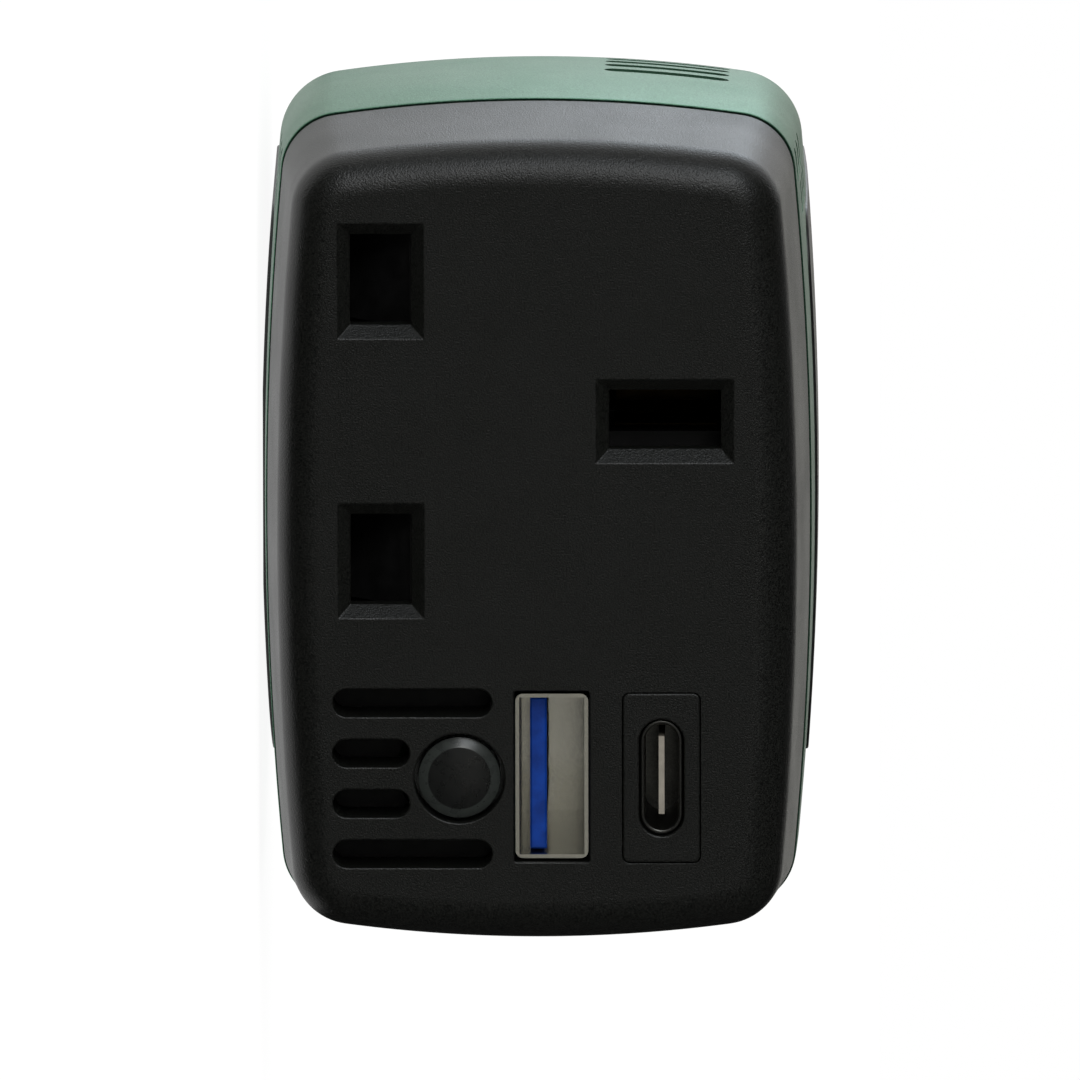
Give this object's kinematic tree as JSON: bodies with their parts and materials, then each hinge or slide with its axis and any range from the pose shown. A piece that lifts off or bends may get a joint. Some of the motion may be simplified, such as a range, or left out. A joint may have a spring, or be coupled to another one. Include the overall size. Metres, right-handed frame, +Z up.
{
  "type": "car power inverter",
  "caption": "Compact car inverter: black front with three-pin socket, USB ports, power button and vent slots, on a swelling green case with a fan at the back.",
  "frame": {"origin": "middle of the bounding box in x and y, at the foot of the lower pad", "axes": "+Z up from the foot, -Y out of the front face with the sockets, +X towards the USB ports, so the front is seen looking along +Y"},
  "size_m": [0.066, 0.0806, 0.0437],
  "materials": {
    "cap_plastic": "fine moulded texture, satin",
    "case_green": "green anodised, satin",
    "pad_rubber": "matt",
    "button_plastic": "gloss",
    "inner_plastic": "matt",
    "plunger_plastic": "matt",
    "port_blue": "satin",
    "port_beige": "satin",
    "port_steel": "plated, satin",
    "screw_steel": "zinc plated",
    "contact_brass": "bright",
    "board_laminate": "solder resist",
    "ferrite": "sintered",
    "winding_copper": "enamelled",
    "capacitor_sleeve": "sleeved",
    "sink_aluminium": "extruded",
    "package_epoxy": "matt",
    "fuse_amber": "translucent"
  },
  "bodies": {
    "case": {"blade_fuse": "fuse_amber", "case_screws": "screw_steel", "charger_board": "board_laminate", "charger_screws": "screw_steel", "earth_contact": "contact_brass", "fan_frame": "inner_plastic", "fan_screws": "screw_steel", "filter_choke": "ferrite", "front_cap": "cap_plastic", "heat_sink": "sink_aluminium", "inlet_bush": "pad_rubber", "input_capacitors": "capacitor_sleeve", "live_contact": "contact_brass", "lower_pad": "pad_rubber", "main_board": "board_laminate", "main_board_screws": "screw_steel", "neutral_contact": "contact_brass", "output_capacitor": "capacitor_sleeve", "power_transistors": "package_epoxy", "rear_cap": "cap_plastic", "shell": "case_green", "shutter_spring": "screw_steel", "socket_carrier": "inner_plastic", "socket_screws": "screw_steel", "switch_body": "inner_plastic", "transformer_core": "ferrite", "transformer_winding": "winding_copper", "upper_pad": "pad_rubber", "usb_a_contacts": "contact_brass", "usb_a_shell": "port_steel", "usb_a_tongue": "port_blue", "usb_c_panel": "cap_plastic", "usb_c_shell": "port_steel", "usb_c_tongue": "port_beige", "vent_screen": "inner_plastic"},
    "button": {"power_button": "button_plastic", "switch_plunger": "plunger_plastic"},
    "shutter": {"socket_shutter": "inner_plastic"},
    "rotor": {"fan_rotor": "inner_plastic"}
  },
  "joints": [
    {"name": "button_press", "type": "slide", "parent": "case", "child": "button", "axis": [0, 1, 0], "range_m": [0, 0.0006], "stiffness_N_per_m": 1000, "springref_m": -0.0005},
    {"name": "shutter_lift", "type": "slide", "parent": "case", "child": "shutter", "axis": [0, 0, 1], "range_m": [0, 0.0053], "stiffness_N_per_m": 60, "springref_m": -0.004, "deforming": ["shutter_spring"]},
    {"name": "fan_spin", "type": "hinge", "parent": "case", "child": "rotor", "pos_m": [-0.0055, 0.0299, 0.02182], "axis": [0, 1, 0], "continuous": true}
  ]
}
